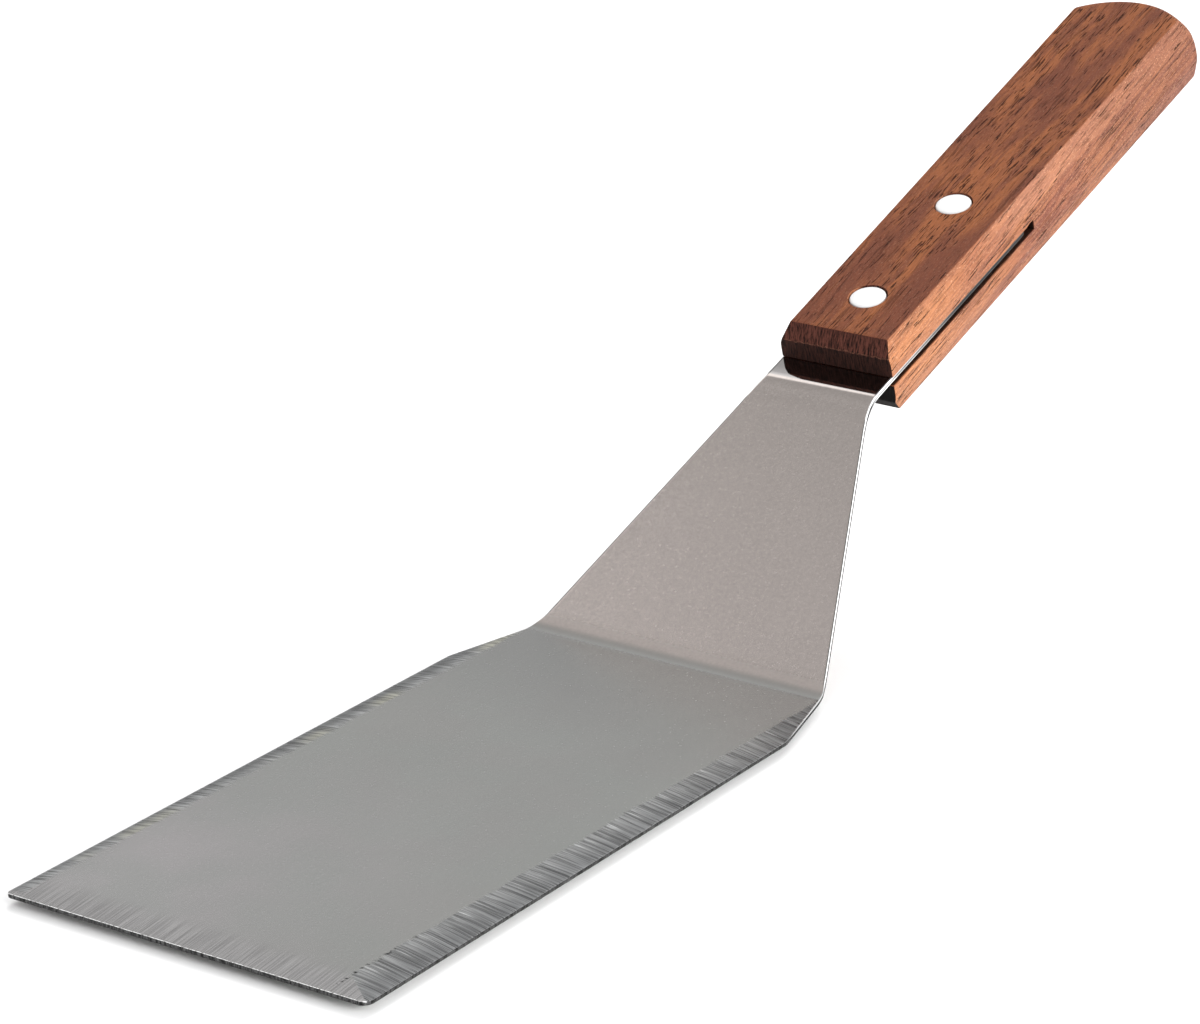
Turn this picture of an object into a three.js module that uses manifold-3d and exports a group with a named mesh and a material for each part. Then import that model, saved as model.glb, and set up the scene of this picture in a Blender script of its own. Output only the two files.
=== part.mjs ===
// Grill spatula: a folded steel blade, neck and tang, riveted into a slotted wooden handle.
// Millimetres, +Z up. The blade lies flat on Z = 0 with its working edge towards -Y, and the
// handle rises towards +Y. The origin is under the middle of the object's bounding box.

import * as THREE from "three";
import { mergeVertices } from "three/addons/utils/BufferGeometryUtils.js";
import Module from "manifold-3d";

const wasm = await Module();
wasm.setup();

const { degToRad } = THREE.MathUtils;

// Steel sheet: blade, neck and tang in one piece.
const SHEET = 1.2;
const BLADE_WIDTH = 76.2;
const BLADE_LENGTH = 152.4;          // working edge to the lower fold line
const RIGHT_CORNER = 2;              // radii of the corners of the working edge
const LEFT_CORNER = 1.1;
const SHOULDER_START = 130.5;        // where the sides begin to run in, from the working edge
const NECK_BASE_WIDTH = 65.2;
const NECK_LENGTH = 63.6;            // lower fold line to upper fold line
const NECK_ANGLE = degToRad(39.2);
const LOWER_FOLD_RADIUS = 9.5;       // inside the fold, on the upper face
const UPPER_FOLD_RADIUS = 24;        // outside the fold, on the upper face
const TANG_WIDTH = 25;
const TANG_ANGLE = degToRad(18);
const TANG_BLEND = 5;                // rounds the corner where the neck meets the tang
const TANG_CORNER = 2;

// Ground bevels on the upper face, along both sides and the working edge.
const BEVEL_DROP = 0.35;
const BEVEL_RIGHT = [8.1, 4.9];      // width at the working edge, width at the neck
const BEVEL_LEFT = [2.8, 4.9];
const BEVEL_FRONT = 6.6;

// Wooden handle, in its own frame: +Y along the handle from its front face, Z = 0 on the
// upper face of the tang.
const HANDLE_SETBACK = 9.6;          // upper fold line to the front of the handle
const HANDLE_LENGTH = 140.6;
const HANDLE_HALF_WIDTH = 12.8;
const HANDLE_THICKNESS = 16.9;
const HANDLE_TOP = 7.6;              // above the upper face of the tang
const END_DOME = { length: 40, halfWidth: 27, halfHeight: 23, level: -4 };
const SIDE_CHAMFER_DEPTH = 4.4;
const RIGHT_CHAMFER = [1.15, 1.05];    // width at the front, width at the end
const LEFT_CHAMFER = [2, 0.1];
const TOP_FRONT_CHAMFER = { back: 2, depth: 3.3 };
const LOWER_FRONT_CHAMFER = { back: 2.5, depth: 3.2 };
const SLOT_DEPTH = 60;
const SLOT_HEIGHT = 2.2;
const SLOT_LIFT = 0.2;               // clearance over the tang
const TANG_IN_SLOT = 56;

// Two-part compression rivets through handle and tang.
const RIVET_FIRST = 14.7;            // front of the handle to the first rivet
const RIVET_PITCH = 36;
const RIVET_HEAD_RADIUS = 3.75;
const RIVET_HEAD_THICKNESS = 1.5;
const RIVET_TUBE_RADIUS = 2.4;
const RIVET_TUBE_BORE = 1.8;
const RIVET_PIN_RADIUS = 1.6;
const RIVET_END_GAP = 0.4;
const HOLE_RADIUS = 2.7;
const SEAT_GAP = 0.3;                // all round a rivet head, in the wood

// Worked out from the dimensions above.
const HALF_BLADE = BLADE_WIDTH / 2;
const HANDLE_BOTTOM = HANDLE_TOP - HANDLE_THICKNESS;
const FOLD_Y = BLADE_LENGTH + NECK_LENGTH * Math.cos(NECK_ANGLE);
const FOLD_Z = SHEET + NECK_LENGTH * Math.sin(NECK_ANGLE);
const TANG_LENGTH = HANDLE_SETBACK + TANG_IN_SLOT;
const ABOVE_ALL = 120;               // taller than the whole object

const steel = new THREE.MeshStandardMaterial({ color: 0x9a9b97, roughness: 0.35, metalness: 1 });
const wood = new THREE.MeshStandardMaterial({ color: 0x8a4a2c, roughness: 0.6, metalness: 0 });
const aluminium = new THREE.MeshStandardMaterial({ color: 0xe4e5e6, roughness: 0.35, metalness: 1 });

const vec = (x, y, z) => new THREE.Vector3(x, y, z);

// A closed three.js geometry as a solid that can be joined and cut.
function toSolid(geometry) {
  const bare = geometry.clone();
  bare.deleteAttribute("normal");
  bare.deleteAttribute("uv");
  const merged = mergeVertices(bare);
  const mesh = new wasm.Mesh({
    numProp: 3,
    vertProperties: new Float32Array(merged.attributes.position.array),
    triVerts: new Uint32Array(merged.index.array),
  });
  return new wasm.Manifold(mesh);
}

function toGeometry(solid) {
  const mesh = solid.getMesh();
  const geometry = new THREE.BufferGeometry();
  geometry.setAttribute("position", new THREE.BufferAttribute(mesh.vertProperties, 3));
  geometry.setIndex(new THREE.BufferAttribute(mesh.triVerts, 1));
  geometry.computeVertexNormals();
  return geometry;
}

// A block that takes away everything beyond a sloping plane. The plane starts at a corner, holds
// the edge vector and falls along the slope vector.
function slopeCutter(corner, edge, slope, outward, height) {
  const along = edge.clone().normalize();
  const down = slope.clone().addScaledVector(along, -slope.dot(along));
  const fall = down.length();
  down.normalize();
  const normal = vec(0, 0, 0).crossVectors(along, down);
  if (normal.dot(outward) < 0) {
    normal.negate();
  }
  const across = vec(0, 0, 0).crossVectors(normal, along);
  const block = new THREE.BoxGeometry(edge.length(), fall, height);
  const centre = corner.clone().addScaledVector(edge, 0.5);
  centre.addScaledVector(down, fall / 2).addScaledVector(normal, height / 2);
  block.applyMatrix4(new THREE.Matrix4().makeBasis(along, across, normal).setPosition(centre));
  return toSolid(block);
}

// The folded sheet seen from the side, drawn in (Y, Z).
function sheetSection() {
  const rise = Math.PI / 2;
  const lowerRun = LOWER_FOLD_RADIUS * Math.tan(NECK_ANGLE / 2);
  const lowerCentre = new THREE.Vector2(BLADE_LENGTH - lowerRun, SHEET + LOWER_FOLD_RADIUS);
  const upperRun = UPPER_FOLD_RADIUS * Math.tan((NECK_ANGLE - TANG_ANGLE) / 2);
  const upperCentre = new THREE.Vector2(
    FOLD_Y - upperRun * Math.cos(NECK_ANGLE) + UPPER_FOLD_RADIUS * Math.sin(NECK_ANGLE),
    FOLD_Z - upperRun * Math.sin(NECK_ANGLE) - UPPER_FOLD_RADIUS * Math.cos(NECK_ANGLE),
  );
  const endTop = new THREE.Vector2(
    FOLD_Y + TANG_LENGTH * Math.cos(TANG_ANGLE),
    FOLD_Z + TANG_LENGTH * Math.sin(TANG_ANGLE),
  );
  const endBottom = new THREE.Vector2(
    endTop.x + SHEET * Math.sin(TANG_ANGLE),
    endTop.y - SHEET * Math.cos(TANG_ANGLE),
  );
  const steep = rise + NECK_ANGLE;
  const gentle = rise + TANG_ANGLE;
  const section = new THREE.Shape();
  section.moveTo(0, 0);
  section.lineTo(lowerCentre.x, 0);
  section.absarc(lowerCentre.x, lowerCentre.y, LOWER_FOLD_RADIUS + SHEET, -rise, NECK_ANGLE - rise, false);
  section.absarc(upperCentre.x, upperCentre.y, UPPER_FOLD_RADIUS - SHEET, steep, gentle, true);
  section.lineTo(endBottom.x, endBottom.y);
  section.lineTo(endTop.x, endTop.y);
  section.absarc(upperCentre.x, upperCentre.y, UPPER_FOLD_RADIUS, gentle, steep, false);
  section.absarc(lowerCentre.x, lowerCentre.y, LOWER_FOLD_RADIUS, NECK_ANGLE - rise, -rise, true);
  section.lineTo(0, SHEET);
  section.closePath();
  return section;
}

// The sheet seen from above: one side from the working edge to the tang's end, then its mirror.
function sheetOutline() {
  const half = TANG_WIDTH / 2;
  const base = NECK_BASE_WIDTH / 2;
  const end = FOLD_Y + TANG_LENGTH;
  const taper = (base - half) / (FOLD_Y - BLADE_LENGTH);
  const outline = new THREE.Shape();
  outline.moveTo(-HALF_BLADE + LEFT_CORNER, 0);
  outline.lineTo(HALF_BLADE - RIGHT_CORNER, 0);
  outline.absarc(HALF_BLADE - RIGHT_CORNER, RIGHT_CORNER, RIGHT_CORNER, -Math.PI / 2, 0, false);
  outline.lineTo(HALF_BLADE, SHOULDER_START);
  outline.lineTo(base, BLADE_LENGTH);
  outline.lineTo(half + taper * TANG_BLEND, FOLD_Y - TANG_BLEND);
  outline.quadraticCurveTo(half, FOLD_Y, half, FOLD_Y + TANG_BLEND);
  outline.lineTo(half, end);
  outline.lineTo(-half, end);
  outline.lineTo(-half, FOLD_Y + TANG_BLEND);
  outline.quadraticCurveTo(-half, FOLD_Y, -half - taper * TANG_BLEND, FOLD_Y - TANG_BLEND);
  outline.lineTo(-base, BLADE_LENGTH);
  outline.lineTo(-HALF_BLADE, SHOULDER_START);
  outline.lineTo(-HALF_BLADE, LEFT_CORNER);
  outline.absarc(-HALF_BLADE + LEFT_CORNER, LEFT_CORNER, LEFT_CORNER, Math.PI, 1.5 * Math.PI, false);
  return outline;
}

// One long side bevel. The side is +1 for right and -1 for left.
function sideBevel(side, [frontWidth, neckWidth]) {
  const flatEnd = BLADE_LENGTH - LOWER_FOLD_RADIUS * Math.tan(NECK_ANGLE / 2);
  const shoulderSlope = (HALF_BLADE - NECK_BASE_WIDTH / 2) / (BLADE_LENGTH - SHOULDER_START);
  const neckSide = HALF_BLADE - shoulderSlope * (flatEnd - SHOULDER_START);
  const margin = 3;
  const front = vec(side * (HALF_BLADE - frontWidth), -margin, SHEET);
  const back = vec(side * Math.min(neckSide, HALF_BLADE - neckWidth), flatEnd, SHEET);
  const slope = vec(side * frontWidth, 0, -BEVEL_DROP).multiplyScalar(1 + margin / frontWidth);
  return slopeCutter(front, back.sub(front), slope, vec(0, 0, 1), margin);
}

function frontBevel() {
  const margin = 3;
  const corner = vec(-HALF_BLADE - margin, BEVEL_FRONT, SHEET);
  const edge = vec(BLADE_WIDTH + 2 * margin, 0, 0);
  const slope = vec(0, -BEVEL_FRONT, -BEVEL_DROP).multiplyScalar(1 + margin / BEVEL_FRONT);
  return slopeCutter(corner, edge, slope, vec(0, 0, 1), margin);
}

// A cylinder along the handle frame's Z, through handle and tang.
function rivetHole(along, radius, low, high) {
  const hole = new THREE.CylinderGeometry(radius, radius, high - low, 32);
  hole.rotateX(Math.PI / 2);
  hole.translate(0, along, (low + high) / 2);
  return hole;
}

function bladeGeometry(handleMatrix, rivetStations) {
  const across = new THREE.Matrix4().makeBasis(vec(0, 1, 0), vec(0, 0, 1), vec(1, 0, 0));
  const folded = new THREE.ExtrudeGeometry(sheetSection(), {
    depth: BLADE_WIDTH + 2, bevelEnabled: false, curveSegments: 10,
  });
  folded.translate(0, 0, -HALF_BLADE - 1);
  folded.applyMatrix4(across);
  const plan = new THREE.ExtrudeGeometry(sheetOutline(), {
    depth: ABOVE_ALL, bevelEnabled: false, curveSegments: 8,
  });
  plan.translate(0, 0, -1);
  let blade = toSolid(folded).intersect(toSolid(plan));
  for (const cutter of [sideBevel(1, BEVEL_RIGHT), sideBevel(-1, BEVEL_LEFT), frontBevel()]) {
    blade = blade.subtract(cutter);
  }
  for (const station of rivetStations) {
    const hole = rivetHole(station, HOLE_RADIUS, -2 * SHEET, SHEET);
    blade = blade.subtract(toSolid(hole.applyMatrix4(handleMatrix)));
  }
  return toGeometry(blade);
}

// What lies beyond the domed end: a block with an ellipsoid taken out of it. The ellipsoid's tip
// is the end of the handle, a little below the middle of its height.
function endCutter() {
  const centre = HANDLE_LENGTH - END_DOME.length;
  const dome = new THREE.SphereGeometry(1, 64, 48);
  dome.scale(END_DOME.halfWidth, END_DOME.length, END_DOME.halfHeight);
  dome.translate(0, centre, END_DOME.level);
  const block = new THREE.BoxGeometry(4 * HANDLE_HALF_WIDTH, END_DOME.length, 4 * HANDLE_THICKNESS);
  block.translate(0, HANDLE_LENGTH - END_DOME.length / 4, 0);
  return toSolid(block).subtract(toSolid(dome));
}

// A long edge chamfer. Side is +1 for right and -1 for left, face is +1 for top and -1 for bottom.
function edgeChamfer(side, face) {
  const level = face > 0 ? HANDLE_TOP : HANDLE_BOTTOM;
  const [frontWidth, endWidth] = side > 0 ? RIGHT_CHAMFER : LEFT_CHAMFER;
  const margin = 5;
  const front = vec(side * (HANDLE_HALF_WIDTH - frontWidth), -margin, level);
  const end = vec(side * (HANDLE_HALF_WIDTH - endWidth), HANDLE_LENGTH + margin, level);
  const edge = end.clone().sub(front);
  const slope = vec(side * frontWidth, 0, -face * SIDE_CHAMFER_DEPTH);
  const start = front.clone().addScaledVector(slope, -1);
  return slopeCutter(start, edge, slope.multiplyScalar(4), vec(side, 0, face), margin);
}

// The chamfer across the front of the handle, above or below.
function frontChamfer(face) {
  const level = face > 0 ? HANDLE_TOP : HANDLE_BOTTOM;
  const { back, depth } = face > 0 ? TOP_FRONT_CHAMFER : LOWER_FRONT_CHAMFER;
  const edge = vec(4 * HANDLE_HALF_WIDTH, 0, 0);
  const slope = vec(0, -back, -face * depth);
  const start = vec(-2 * HANDLE_HALF_WIDTH, back, level).sub(slope);
  return slopeCutter(start, edge, slope.multiplyScalar(3), vec(0, -1, face), 2 * depth);
}

function handleSlot() {
  const margin = 5;
  const slot = new THREE.BoxGeometry(4 * HANDLE_HALF_WIDTH, SLOT_DEPTH + margin, SLOT_HEIGHT);
  slot.translate(0, (SLOT_DEPTH - margin) / 2, SLOT_LIFT - SLOT_HEIGHT / 2);
  return slot;
}

function handleGeometry(rivetStations) {
  const blank = new THREE.BoxGeometry(2 * HANDLE_HALF_WIDTH, HANDLE_LENGTH, HANDLE_THICKNESS);
  blank.translate(0, HANDLE_LENGTH / 2, (HANDLE_TOP + HANDLE_BOTTOM) / 2);
  let handle = toSolid(blank).subtract(toSolid(handleSlot())).subtract(endCutter());
  for (const face of [1, -1]) {
    handle = handle.subtract(frontChamfer(face));
    handle = handle.subtract(edgeChamfer(1, face));
    handle = handle.subtract(edgeChamfer(-1, face));
  }
  const seat = RIVET_HEAD_THICKNESS + SEAT_GAP;
  const wide = RIVET_HEAD_RADIUS + SEAT_GAP;
  for (const station of rivetStations) {
    const cuts = [
      rivetHole(station, HOLE_RADIUS, HANDLE_BOTTOM - 1, HANDLE_TOP + 1),
      rivetHole(station, wide, HANDLE_TOP - seat, HANDLE_TOP + 1),
      rivetHole(station, wide, HANDLE_BOTTOM - 1, HANDLE_BOTTOM + seat),
    ];
    for (const cut of cuts) {
      handle = handle.subtract(toSolid(cut));
    }
  }
  return toGeometry(handle);
}

// Solid of revolution about the rivet's own axis, which is the handle frame's Z.
function turned(profile) {
  const points = profile.map(([radius, height]) => new THREE.Vector2(radius, height));
  return new THREE.LatheGeometry(points, 40).rotateX(Math.PI / 2);
}

// Upper half: head and solid pin.
function rivetMale() {
  const pinEnd = HANDLE_BOTTOM + RIVET_HEAD_THICKNESS + RIVET_END_GAP;
  return turned([
    [0, pinEnd],
    [RIVET_PIN_RADIUS, pinEnd],
    [RIVET_PIN_RADIUS, HANDLE_TOP - RIVET_HEAD_THICKNESS],
    [RIVET_HEAD_RADIUS, HANDLE_TOP - RIVET_HEAD_THICKNESS],
    [RIVET_HEAD_RADIUS, HANDLE_TOP],
    [0, HANDLE_TOP],
  ]);
}

// Lower half: head and the tube that grips the pin.
function rivetFemale() {
  const tubeEnd = HANDLE_TOP - RIVET_HEAD_THICKNESS - RIVET_END_GAP;
  const floor = HANDLE_BOTTOM + RIVET_HEAD_THICKNESS;
  return turned([
    [0, HANDLE_BOTTOM],
    [RIVET_HEAD_RADIUS, HANDLE_BOTTOM],
    [RIVET_HEAD_RADIUS, floor],
    [RIVET_TUBE_RADIUS, floor],
    [RIVET_TUBE_RADIUS, tubeEnd],
    [RIVET_TUBE_BORE, tubeEnd],
    [RIVET_TUBE_BORE, floor],
    [0, floor],
  ]);
}

function addPiece(group, name, geometry, material) {
  const piece = new THREE.Mesh(geometry, material);
  piece.name = name;
  group.add(piece);
  return piece;
}

const grip = new THREE.Group();
grip.position.set(
  0,
  FOLD_Y + HANDLE_SETBACK * Math.cos(TANG_ANGLE),
  FOLD_Z + HANDLE_SETBACK * Math.sin(TANG_ANGLE),
);
grip.rotation.x = TANG_ANGLE;
grip.updateMatrix();

const stations = { front: RIVET_FIRST, rear: RIVET_FIRST + RIVET_PITCH };
const spatula = new THREE.Group();
addPiece(spatula, "blade", bladeGeometry(grip.matrix, Object.values(stations)), steel);
addPiece(grip, "handle", handleGeometry(Object.values(stations)), wood);
for (const [place, station] of Object.entries(stations)) {
  addPiece(grip, `${place}_rivet_male`, rivetMale(), aluminium).position.y = station;
  addPiece(grip, `${place}_rivet_female`, rivetFemale(), aluminium).position.y = station;
}
spatula.add(grip);

// Slide the object along Y until the origin is under the middle of its length.
spatula.updateMatrixWorld(true);
const extent = new THREE.Box3().setFromObject(spatula, true);
spatula.position.y = -(extent.min.y + extent.max.y) / 2;

export default spatula;
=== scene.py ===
from math import cos, pi, radians, sin, sqrt, tan

import bmesh
import bpy
from mathutils import Matrix, Vector, noise


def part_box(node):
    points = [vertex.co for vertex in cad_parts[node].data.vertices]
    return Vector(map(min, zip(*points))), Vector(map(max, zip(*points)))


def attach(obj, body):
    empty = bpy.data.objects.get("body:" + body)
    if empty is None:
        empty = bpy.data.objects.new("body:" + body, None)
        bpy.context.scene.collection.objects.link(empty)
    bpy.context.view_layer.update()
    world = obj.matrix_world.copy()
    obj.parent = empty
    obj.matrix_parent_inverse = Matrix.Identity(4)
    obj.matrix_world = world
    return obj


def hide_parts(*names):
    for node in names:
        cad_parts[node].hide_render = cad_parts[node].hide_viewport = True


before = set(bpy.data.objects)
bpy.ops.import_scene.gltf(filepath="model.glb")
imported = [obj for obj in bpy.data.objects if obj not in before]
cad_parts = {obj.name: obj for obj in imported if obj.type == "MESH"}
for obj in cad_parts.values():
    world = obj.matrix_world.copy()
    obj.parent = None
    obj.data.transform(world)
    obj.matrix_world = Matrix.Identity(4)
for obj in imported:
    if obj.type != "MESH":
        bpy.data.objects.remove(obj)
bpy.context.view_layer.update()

# Sizes are in millimetres unless a name says otherwise. MM turns them into Blender's metres.
MM = 0.001

# Folded sheet: blade, neck and tang. Y runs from the working edge, Z from the underside.
SHEET = 1.2
BLADE_WIDTH = 76.2
BLADE_LENGTH = 152.4
RIGHT_CORNER = 2.0
LEFT_CORNER = 1.1
SHOULDER_START = 130.5
NECK_BASE = 65.2
NECK_LENGTH = 63.6
NECK_ANGLE = radians(39.2)
LOWER_FOLD_RADIUS = 9.5
UPPER_FOLD_RADIUS = 24.0
TANG_WIDTH = 25.0
TANG_ANGLE = radians(18.0)
TANG_BLEND = 5.0
TANG_IN_SLOT = 56.0

# Ground bevels: width at the working edge and at the neck, and how deep they are at the rim.
BEVEL_DROP = 0.35
BEVEL_FRONT = 6.6
BEVEL_RIGHT = (8.1, 4.9)
BEVEL_LEFT = (2.8, 4.9)
EDGE_TURN = 0.28

# Handle, in its own frame: +Y along it from its front face, Z = 0 on the tang's upper face.
# Levels are heights above the middle of its thickness.
SETBACK = 9.6
HANDLE_LENGTH = 140.6
HALF_WIDTH = 12.8
HALF_HEIGHT = 8.45
HANDLE_TOP = 7.6
DOME_LENGTH = 40.0
DOME_HALF_WIDTH = 27.0
DOME_HALF_HEIGHT = 23.0
DOME_LEVEL = -4.0
SIDE_CHAMFER_DEPTH = 4.4
RIGHT_CHAMFER = (1.15, 1.05)
LEFT_CHAMFER = (2.0, 0.1)
TOP_FRONT_CHAMFER = (2.0, 3.3)
LOWER_FRONT_CHAMFER = (2.5, 3.2)
SLOT_DEPTH = 60.0
SLOT_TOP = 0.12
SLOT_BOTTOM = -1.97
SIDE_ROUNDING = 0.3
DOME_SANDING = 0.08

# Rivets stand along the handle's own Z axis.
RIVET_STATIONS = {"front": 14.7, "rear": 50.7}
HEAD_RADIUS = 3.75
HEAD_THICKNESS = 1.5
TUBE_RADIUS = 2.4
TUBE_BORE = 1.8
PIN_RADIUS = 1.6
END_GAP = 0.4
HOLE_RADIUS = 2.7
SEAT_GAP = 0.25

# Camera: place in metres, with Y from the working edge, lens and sensor width in millimetres, and
# heading, elevation and roll in degrees.
CAMERA_PLACE = (0.43250, -0.52939, 0.32591)
CAMERA_LENS = 135.84
CAMERA_SENSOR = 36.0
CAMERA_HEADING = 33.4407
CAMERA_ELEVATION = 20.0457
CAMERA_ROLL = 0.1756

# The floor lies this far below the blade, in metres, so that the contact shadow shows.
FLOOR_DROP = 0.0012

# Brightness of the studio at each height, from 0 at the horizon to 1 straight up. It is white from
# the horizon down, and the bright strip near 0.76 is there for the polished tang to mirror.
STUDIO_LEVELS = (
    (0.20, 0.50), (0.36, 0.50), (0.62, 0.62), (0.726, 0.62), (0.731, 0.9),
    (0.745, 1.5), (0.764, 1.9), (0.787, 1.9), (0.797, 0.60),
)

# Worked out from the sizes above. ORIGIN_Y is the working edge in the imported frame.
HALF_BLADE = BLADE_WIDTH / 2
ORIGIN_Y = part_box("blade")[0][1] / MM
MID_LEVEL = HANDLE_TOP - HALF_HEIGHT
HANDLE_BOTTOM = MID_LEVEL - HALF_HEIGHT
FOLD_Y = BLADE_LENGTH + NECK_LENGTH * cos(NECK_ANGLE)
FOLD_Z = SHEET + NECK_LENGTH * sin(NECK_ANGLE)
HANDLE_FRAME = Matrix.Translation((
    0.0,
    (ORIGIN_Y + FOLD_Y + SETBACK * cos(TANG_ANGLE)) * MM,
    (FOLD_Z + SETBACK * sin(TANG_ANGLE)) * MM,
)) @ Matrix.Rotation(TANG_ANGLE, 4, "X")


def mix(a, b, t):
    return a + (b - a) * t


def clamp(value, low=0.0, high=1.0):
    return max(low, min(high, value))


def ease(value, low, high):
    """0 below low, 1 above high and smooth between them. Low may be the larger of the two."""
    t = clamp((value - low) / (high - low))
    return t * t * (3 - 2 * t)


def wander(*place):
    """Smooth random value between about -1 and 1."""
    return noise.noise(Vector(place))


# ---------------------------------------------------------------- mesh tools

def add_object(name, points, faces, crease=30.0):
    """A mesh object from points in millimetres, smooth except over edges sharper than crease."""
    mesh = bpy.data.meshes.new(name)
    mesh.from_pydata([Vector(point) * MM for point in points], [], faces)
    shape = bmesh.new()
    shape.from_mesh(mesh)
    bmesh.ops.remove_doubles(shape, verts=shape.verts, dist=0.002 * MM)
    bmesh.ops.recalc_face_normals(shape, faces=shape.faces)
    shape.to_mesh(mesh)
    shape.free()
    piece = bpy.data.objects.new(name, mesh)
    bpy.context.scene.collection.objects.link(piece)
    soften(piece, crease)
    return piece


def soften(piece, crease):
    piece.data.shade_smooth()
    piece.data.set_sharp_from_angle(angle=radians(crease))


def cut(piece, cutters, crease=30.0):
    """Takes the cutters away from the piece, and then removes them."""
    for cutter in cutters:
        modifier = piece.modifiers.new("cut", "BOOLEAN")
        modifier.object = cutter
        modifier.operation = "DIFFERENCE"
        modifier.solver = "EXACT"
    bpy.context.view_layer.update()
    graph = bpy.context.evaluated_depsgraph_get()
    result = bpy.data.meshes.new_from_object(piece.evaluated_get(graph))
    piece.modifiers.clear()
    blank = piece.data
    piece.data = result
    bpy.data.meshes.remove(blank)
    for cutter in cutters:
        mesh = cutter.data
        bpy.data.objects.remove(cutter)
        bpy.data.meshes.remove(mesh)
    soften(piece, crease)


def lathe(name, profile, segments=72, crease=30.0):
    """A closed solid turned about Z from (radius, height) points that start and end on the axis."""
    points = []
    rings = []
    for radius, height in profile:
        if radius == 0:
            rings.append([len(points)] * segments)
            points.append((0, 0, height))
            continue
        rings.append([len(points) + step for step in range(segments)])
        for step in range(segments):
            angle = 2 * pi * step / segments
            points.append((radius * cos(angle), radius * sin(angle), height))
    faces = []
    for low, high in zip(rings, rings[1:]):
        for step in range(segments):
            after = (step + 1) % segments
            corners = [low[step], low[after], high[after], high[step]]
            faces.append(list(dict.fromkeys(corners)))
    return add_object(name, points, faces, crease)


# ---------------------------------------------------------------- blade

def fold_stations():
    """Places along the sheet's upper face as (Y, Z, tilt), from the working edge to the tang's end."""
    lower_run = LOWER_FOLD_RADIUS * tan(NECK_ANGLE / 2)
    upper_run = UPPER_FOLD_RADIUS * tan((NECK_ANGLE - TANG_ANGLE) / 2)
    flat_end = BLADE_LENGTH - lower_run
    stations = [(y, SHEET, 0.0) for y in (0.001, 0.05, 0.16, 0.35, 0.6, 0.9, 1.25, 1.6, 2.0)]
    count = int((flat_end - 2.0) / 0.7)
    for step in range(1, count):
        stations.append((mix(2.0, flat_end, step / count), SHEET, 0.0))
    for step in range(17):
        tilt = NECK_ANGLE * step / 16
        y = flat_end + LOWER_FOLD_RADIUS * sin(tilt)
        stations.append((y, SHEET + LOWER_FOLD_RADIUS * (1 - cos(tilt)), tilt))
    base_y, base_z, _ = stations[-1]
    neck = NECK_LENGTH - lower_run - upper_run
    for step in range(1, 49):
        run = neck * step / 48
        stations.append((base_y + run * cos(NECK_ANGLE), base_z + run * sin(NECK_ANGLE), NECK_ANGLE))
    top_y, top_z, _ = stations[-1]
    for step in range(1, 17):
        tilt = mix(NECK_ANGLE, TANG_ANGLE, step / 16)
        y = top_y + UPPER_FOLD_RADIUS * (sin(NECK_ANGLE) - sin(tilt))
        z = top_z + UPPER_FOLD_RADIUS * (cos(tilt) - cos(NECK_ANGLE))
        stations.append((y, z, tilt))
    tang_y, tang_z, _ = stations[-1]
    tang = SETBACK + TANG_IN_SLOT - upper_run
    for step in range(1, 31):
        run = tang * step / 30
        stations.append((tang_y + run * cos(TANG_ANGLE), tang_z + run * sin(TANG_ANGLE), TANG_ANGLE))
    return stations


def half_width(y, corner=RIGHT_CORNER):
    """Half the sheet's width at a distance y from the working edge, seen from above."""
    base = NECK_BASE / 2
    tang = TANG_WIDTH / 2
    taper = (base - tang) / (FOLD_Y - BLADE_LENGTH)
    if y < corner:
        return HALF_BLADE - corner + sqrt(corner ** 2 - (corner - y) ** 2)
    if y < SHOULDER_START:
        return HALF_BLADE
    if y < BLADE_LENGTH:
        return mix(HALF_BLADE, base, (y - SHOULDER_START) / (BLADE_LENGTH - SHOULDER_START))
    if y < FOLD_Y - TANG_BLEND:
        return base - taper * (y - BLADE_LENGTH)
    if y < FOLD_Y + TANG_BLEND:
        t = (FOLD_Y + TANG_BLEND - y) / (2 * TANG_BLEND)
        return tang + taper * TANG_BLEND * t * t
    return tang


def bevel_line(widths, y):
    """Distance from the centre line to the inner edge of a side bevel."""
    return HALF_BLADE - mix(widths[0], widths[1], clamp(y / BLADE_LENGTH))


def ground_away(x, y):
    """How far the upper face is ground down at a place on the blade."""
    if y > BLADE_LENGTH:
        return 0.0
    line = bevel_line(BEVEL_RIGHT if x > 0 else BEVEL_LEFT, y)
    side = (abs(x) - line) / (HALF_BLADE - line)
    front = (BEVEL_FRONT - y) / BEVEL_FRONT
    depth = clamp(max(side, front))
    stroke = wander(y / 1.1, 0.0, 3.0) if side > front else wander(x / 1.1, 0.0, 5.0)
    return BEVEL_DROP * depth * (1 + 0.06 * stroke)


def across_points(left, right, y):
    """Places across the sheet where the mesh has vertices, from left to right."""
    inner_left = min(bevel_line(BEVEL_LEFT, y), left * 0.93)
    inner_right = min(bevel_line(BEVEL_RIGHT, y), right * 0.93)
    places = [-left + EDGE_TURN]
    places += [mix(-left + EDGE_TURN, -inner_left, step / 4) for step in range(1, 5)]
    places += [mix(-inner_left, inner_right, step / 36) for step in range(1, 37)]
    places += [mix(inner_right, right - EDGE_TURN, step / 7) for step in range(1, 8)]
    return places


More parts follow.
